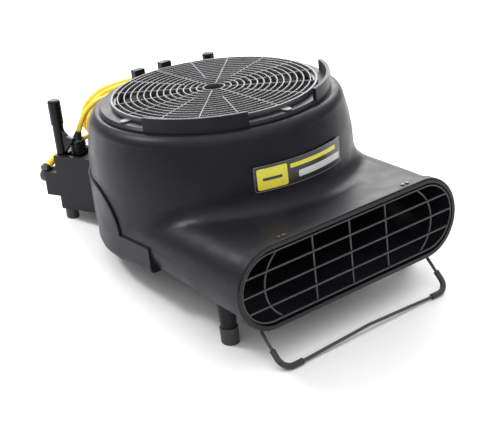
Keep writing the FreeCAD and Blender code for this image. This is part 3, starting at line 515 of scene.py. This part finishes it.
def make_cord():
    """The whole mains cord as one smooth line: lead, coil and tail, ending in the plug."""
    route = lead_points + coil_points() + tail_points[::-1]
    curve = bpy.data.curves.new("mains_cord", "CURVE")
    curve.dimensions = "3D"
    spline = curve.splines.new("NURBS")
    spline.points.add(len(route) - 1)
    for knot, point in zip(spline.points, route):
        knot.co = (*own(point), 1)
    spline.order_u = 3
    spline.use_endpoint_u = True
    spline.resolution_u = 6
    curve.bevel_depth = CORD_DIAMETER / 2 * MM
    curve.bevel_resolution = 5
    curve.use_fill_caps = True
    cord = add_piece(bpy.data.objects.new("mains_cord", curve), "housing", MATERIALS["cord"])
    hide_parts("power_cord", "cord_coil", "cord_tail")
    return cord


def make_strain_relief():
    """The ribbed, tapered sleeve moulded onto the cord where it leaves the arm."""
    length, ribs = RELIEF_LENGTH, 6
    profile = [(0.0, 6.4), (2.4, 6.4), (3.2, 6.0)]
    pitch = (length - 4.0) / ribs
    for index in range(ribs):
        start = 3.6 + pitch * index
        radius = 6.1 - 1.5 * index / ribs
        profile += [(start, radius - 0.9), (start + 0.3 * pitch, radius - 0.9),
                    (start + 0.42 * pitch, radius), (start + 0.88 * pitch, radius - 0.15)]
    profile.append((length, CORD_DIAMETER / 2 + 0.25))
    points, faces = turned_along(relief_base, lead_exit, profile)
    relief = mesh_piece("ribbed_strain_relief", points, faces, "housing", "cord")
    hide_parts("strain_relief")


def make_plug():
    """The parked plug: a rounded grip with finger ribs and a short ribbed neck towards the cord."""
    sections = []
    levels = [(-104.0, 0.93), (-103.0, 1.0), (-100.6, 1.0)]
    for index in range(5):
        low = -100.0 + 3.4 * index
        levels += [(low, 0.86), (low + 1.2, 0.86), (low + 1.8, 1.0), (low + 2.9, 0.99)]
    levels += [(-82.6, 0.84), (-81.0, 0.72), (-80.2, 0.58)]
    for z, size in levels:
        center = arm_point(PLUG_ALONG, PLUG_OFF, z)
        outline = rounded_outline(8.0 * size, 11.5 * size, 4.6 * size, 5)
        sections.append([center + ALONG_ARM * a + OFF_FACE * b for a, b in outline])
    profile = [(-3.0, 7.4), (0.5, 7.2)]
    for index in range(3):
        start = 1.2 + 2.5 * index
        radius = 6.9 - 0.8 * index
        profile += [(start, radius - 0.8), (start + 0.9, radius - 0.8), (start + 1.2, radius),
                    (start + 2.3, radius - 0.1)]
    profile.append((9.0, CORD_DIAMETER / 2 + 0.3))
    points, faces = merged([loft(sections), turned_along(plug_crown, plug_exit, profile)])
    plug = mesh_piece("parked_plug", points, faces, "housing", "plug")
    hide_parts("plug_body")
    return plug


def make_cord_tie():
    """The hook-and-loop strap that holds the wound turns together, on the coil's right."""
    wound = TURN_PITCH * ROWS + 1.0
    half_band, half_depth = wound / 2 + 1.0, TURN_PITCH * LAYERS / 2 + 1.6
    middle = COIL_CENTER + Vector((COIL_HALF_WIDTH - 0.4 - wound / 2, 0, 0))
    loop = rounded_outline(half_band, half_depth, 5.0, 6)
    path = [middle + Vector((a, 0, 0)) + COIL_OUT * b for a, b in loop]

    def outward(point):
        offset = point - middle
        depth = offset.dot(COIL_OUT)
        return Vector((offset.x / half_band ** 2, 0, 0)) + COIL_OUT * (depth / half_depth ** 2)

    points, faces = swept(path, rounded_outline(0.7, 8.0, 0.5), outward, True)
    mesh_piece("cord_tie", points, faces, "housing", "rubber")


cord = make_cord()
make_strain_relief()
plug = make_plug()
make_cord_tie()

# ---------------------------------------------------------------- inlet grille

GRILLE_RADIUS, HUB_RADIUS, RING_GAPS, SPOKES = 140.0, 14.7, 14, 16
SHORT_SPOKE_START = 47.0
RIB_WIDTH, RIB_DEPTH = 2.2, 5.5


def grille_spoke(index):
    """One straight spoke; every second one stops short of the hub."""
    inner = HUB_RADIUS if index % 2 == 0 else SHORT_SPOKE_START
    turn = math.radians(360 / SPOKES * index)
    way = Vector((math.sin(turn), -math.cos(turn), 0))
    middle = UP * (-0.35 - RIB_DEPTH / 2 + 0.15)
    path = [way * (inner + (GRILLE_RADIUS - 1 - inner) * step / 4) + middle for step in range(5)]
    outline = rounded_outline(RIB_DEPTH / 2 - 0.15, RIB_WIDTH * 0.45, 0.7)
    return swept(path, outline, lambda point: UP)


def make_grille():
    """The moulded inlet grille: concentric ribs with rounded tops, spokes, rim, spigot and four tabs."""
    pitch = (GRILLE_RADIUS - HUB_RADIUS) / RING_GAPS
    rib = rounded_outline(RIB_WIDTH / 2, RIB_DEPTH / 2, 0.8)
    parts = []
    for index in range(RING_GAPS):
        path = around(HUB_RADIUS + pitch * index, -RIB_DEPTH / 2, steps=64 + 4 * index)
        parts.append(swept(path, rib, away_from_axis, True))
    parts += [grille_spoke(index) for index in range(SPOKES)]
    rim = (139.25, -3.5, 1.75, 3.5, 0.9)
    foot = (137.5, -6.0, 3.5, 1.0, 0.4)
    spigot = (135.35, -10.4, 1.35, 3.6, 0.4)
    for radius, level, half_width, half_height, corner in (rim, foot, spigot):
        band = rounded_outline(half_width, half_height, corner)
        parts.append(swept(around(radius, level, steps=128), band, away_from_axis, True))
    for quarter in range(4):
        turn = math.radians(92 + 90 * quarter)
        way = Vector((math.sin(turn), -math.cos(turn), 0))
        path = [way * radius - UP * 5.75 for radius in (139.5, 143, 148, 152, 154.4)]
        parts.append(swept(path, rounded_outline(1.25, 6.0, 0.6), lambda point: UP,
                           scale=lambda step: (1, 1, 1, 0.86, 0.45)[step]))
    points, faces = merged(parts)
    grille = mesh_piece("grille_moulding", points, faces, "housing", "grille")
    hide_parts("inlet_grille")


make_grille()

# ---------------------------------------------------------------- badge

BADGE_RADIUS, RIM_RADIUS = 183.0, 183.1


def badge_columns(start, end, low, high, corner):
    """(distance round the drum, lower height, upper height) columns of a plate with round corners."""
    columns = []
    cuts = [corner * (1 - math.cos(math.pi / 2 * step / 4)) for step in range(5)]
    inner_steps = max(2, int((end - start) / 3))
    straight = end - start - 2 * corner
    middle = [start + corner + straight * step / inner_steps for step in range(1, inner_steps)]
    for distance in [start + cut for cut in cuts] + middle + [end - cut for cut in reversed(cuts)]:
        edge = min(distance - start, end - distance)
        cut = 0.0 if edge >= corner else corner - math.sqrt(max(0.0, corner ** 2 - (corner - edge) ** 2))
        columns.append((distance, low + cut, high - cut))
    return columns


def badge_plate(name, start, end, low, high, corner, inner, outer, material):
    """A thin curved plate on the drum's wall."""
    sections = []
    for distance, lower, upper in badge_columns(start, end, low, high, corner):
        turn = distance / BADGE_RADIUS
        way = Vector((math.sin(turn), -math.cos(turn), 0))
        sections.append([way * radius + UP * z for radius, z in
                         ((inner, lower), (outer, lower), (outer, upper), (inner, upper))])
    points, faces = loft(sections)
    return mesh_piece(name, points, faces, "housing", "badge", material)


def badge_rim():
    """The thin raised border that frames the badge."""
    columns = badge_columns(-74.2, 72.4, -90.6, -57.4, 3.5)
    lower = [(distance, low) for distance, low, _ in columns]
    upper = [(distance, high) for distance, _, high in reversed(columns)]
    path = []
    for distance, z in lower + upper:
        turn = distance / BADGE_RADIUS
        path.append(Vector((RIM_RADIUS * math.sin(turn), -RIM_RADIUS * math.cos(turn), z)))
    points, faces = swept(path, circle(0.55, 8), away_from_axis, True)
    mesh_piece("badge_rim", points, faces, "housing", "badge", badge_edge)


def make_badge():
    """A generic badge: border, yellow patch and plain bars, with no lettering."""
    badge_rim()
    badge_plate("badge_patch", -70.5, -28.5, -88.6, -60.6, 2.6, 182.9, 183.12, badge_yellow)
    badge_plate("badge_patch_bar", -63.0, -36.5, -77.0, -73.2, 0.9, 183.0, 183.24, MATERIALS["badge"])
    badge_plate("badge_upper_bar", -24.0, 58.0, -69.0, -63.4, 1.2, 182.9, 183.14, badge_yellow)
    badge_plate("badge_lower_bar", -12.0, 66.0, -84.0, -75.2, 1.6, 182.9, 183.14, badge_white)


make_badge()

# ---------------------------------------------------------------- arm fairings

FAIRING_TOP, FAIRING_FOOT = -95.0, -155.6
FAIRING_BACK_Y, FAIRING_CREST_Y, FAIRING_FRONT_Y = 116.0, 58.0, -8.0
FAIRING_RADIUS, FAIRING_INNER_RADIUS = 184.6, 180.0
BEAD_RADIUS = 1.5
SEAM_X, SEAM_STATIONS = 182.6, (-16, -30, -45, -60, -74)


def fairing_level(y):
    """Height of the fairing's edge: level beside the arm, then a quarter ellipse down to the seam."""
    if y >= FAIRING_CREST_Y:
        return FAIRING_TOP
    run = min(1.0, (FAIRING_CREST_Y - y) / (FAIRING_CREST_Y - FAIRING_FRONT_Y))
    return FAIRING_TOP + (FAIRING_FOOT - FAIRING_TOP) * (1 - math.sqrt(1 - run * run))


def fairing_stations():
    """Distances along the duct, closer together where the edge turns down steeply."""
    level_steps, falling_steps = 12, 30
    level_run = FAIRING_BACK_Y - FAIRING_CREST_Y
    falling_run = FAIRING_CREST_Y - FAIRING_FRONT_Y
    stations = [FAIRING_BACK_Y - level_run * step / level_steps for step in range(level_steps)]
    for step in range(falling_steps + 1):
        stations.append(FAIRING_CREST_Y - falling_run * math.sin(math.pi / 2 * step / falling_steps))
    return stations


def make_fairing(side, name):
    """The raised skin that runs from the arm down to the seam, and the bead along its edge."""
    sections, edge = [], []
    for y in fairing_stations():
        high = fairing_level(y)
        reach = math.sqrt(FAIRING_RADIUS ** 2 - y ** 2)
        out = Vector((side * reach, y, 0)).normalized()
        corners = ((FAIRING_INNER_RADIUS, FAIRING_FOOT - 1), (FAIRING_RADIUS, FAIRING_FOOT - 1),
                   (FAIRING_RADIUS, high - 0.8), (FAIRING_INNER_RADIUS, high + 0.4))
        sections.append([out * radius + UP * z for radius, z in corners])
        edge.append(out * (FAIRING_RADIUS - 1.0) + UP * high)
    edge += [Vector((side * SEAM_X, y, FAIRING_FOOT)) for y in SEAM_STATIONS]

    def sideways(point):
        return Vector((point.x, max(point.y, 0), 0)).normalized()

    bead = swept(edge, circle(BEAD_RADIUS, 10), sideways)
    points, faces = merged([loft(sections), bead])
    mesh_piece(f"arm_fairing_{name}", points, faces, "housing", "housing")


make_fairing(-1, "left")
make_fairing(1, "right")

# ---------------------------------------------------------------- stand sleeves

STAND_HALF_WIDTH, STAND_PIVOT, STAND_FOOT_Y = 141.0, Vector((0, -240.0, -229.5)), -280.4
SLEEVE_RADIUS, SLEEVE_BEND = 3.9, 16.0


def stand_corner(side):
    """The stand's lower corner and the directions up its leg and in along its cross bar."""
    floor = (STAND_FOOT_Y * math.sin(STANCE) - 228.0) / math.cos(STANCE)
    corner = Vector((side * STAND_HALF_WIDTH, STAND_FOOT_Y, floor + SLEEVE_RADIUS + 0.35))
    top = Vector((side * STAND_HALF_WIDTH, STAND_PIVOT.y, STAND_PIVOT.z))
    return corner, (top - corner).normalized(), Vector((-side, 0, 0))


def make_sleeve(side, name):
    """A rubber sleeve round the stand's lower corner, with a lip at each end."""
    corner, up_leg, inward = stand_corner(side)
    half_turn = (math.pi - up_leg.angle(inward)) / 2
    trim = SLEEVE_BEND * math.tan(half_turn)
    toward = (up_leg + inward).normalized()
    center = corner + toward * (SLEEVE_BEND / math.cos(half_turn))
    path = [corner + up_leg * length for length in (28, 27.4, 26.2, 25.4, 24.6, 21)]
    enter, leave = corner + up_leg * trim - center, corner + inward * trim - center
    steps = 12
    for step in range(steps + 1):
        share = step / steps
        path.append(center + (enter * math.sin((1 - share) * 2 * half_turn)
                              + leave * math.sin(share * 2 * half_turn)) / math.sin(2 * half_turn))
    path += [corner + inward * length for length in (20, 26.6, 27.4, 28.2, 29.4, 30)]
    lips = {0: 0.94, 1: 1.05, 2: 1.05, 3: 0.93, 4: 1.0}
    last = len(path) - 1
    points, faces = swept(path, circle(SLEEVE_RADIUS, 24), lambda point: up_leg.cross(inward),
                          scale=lambda index: lips.get(min(index, last - index), 1.0))
    sleeve = mesh_piece(f"foot_sleeve_{name}", points, faces, "stand", "rubber")
    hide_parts(f"stand_sleeve_{name}")


make_sleeve(-1, "left")
make_sleeve(1, "right")

# ---------------------------------------------------------------- floor, world and lights


def make_stage():
    """A plain pale floor and plain soft studio light."""
    mesh = bpy.data.meshes.new("floor")
    reach = 12.0
    mesh.from_pydata([(-reach, -reach, 0), (reach, -reach, 0), (reach, reach, 0), (-reach, reach, 0)], [],
                     [(0, 1, 2, 3)])
    floor = bpy.data.objects.new("floor", mesh)
    scene.collection.objects.link(floor)
    paper = bpy.data.materials.new("paper")
    paper.use_nodes = True
    shader = paper.node_tree.nodes["Principled BSDF"]
    shader.inputs["Base Color"].default_value = (0.92, 0.92, 0.93, 1)
    shader.inputs["Roughness"].default_value = 0.9
    floor.data.materials.append(paper)
    world = bpy.data.worlds.new("studio")
    world.use_nodes = True
    paint = world.node_tree
    direction = paint.nodes.new("ShaderNodeSeparateXYZ")
    paint.links.new(paint.nodes.new("ShaderNodeTexCoord").outputs["Generated"], direction.inputs[0])
    glow = paint.nodes.new("ShaderNodeMapRange")
    for socket, value in (("From Min", 0.05), ("From Max", 0.85), ("To Min", 0.22), ("To Max", 1.25)):
        glow.inputs[socket].default_value = value
    paint.links.new(direction.outputs["Z"], glow.inputs["Value"])
    paint.links.new(glow.outputs["Result"], paint.nodes["Background"].inputs["Strength"])
    paint.nodes["Background"].inputs["Color"].default_value = (1, 1, 1, 1)
    scene.world = world
    scene.view_settings.view_transform = "Standard"


def soft_box(name, place, target, size, power):
    """One soft rectangular lamp aimed at a point."""
    data = bpy.data.lights.new(name, "AREA")
    data.shape = "RECTANGLE"
    data.size, data.size_y = size
    data.energy = power
    lamp = bpy.data.objects.new(name, data)
    lamp.location = place
    lamp.rotation_mode = "QUATERNION"
    lamp.rotation_quaternion = (Vector(target) - Vector(place)).to_track_quat("-Z", "Y")
    scene.collection.objects.link(lamp)


make_stage()
soft_box("behind", (0.98, 1.26, 0.95), (0.05, 0.05, 0.15), (2.0, 1.1), 45)
soft_box("shoulder", (-0.74, 0.87, 1.22), (-0.12, -0.08, 0.14), (0.3, 0.3), 12)
soft_box("overhead", (-0.1, -0.1, 1.9), (0, 0, 0.1), (1.6, 1.6), 8)
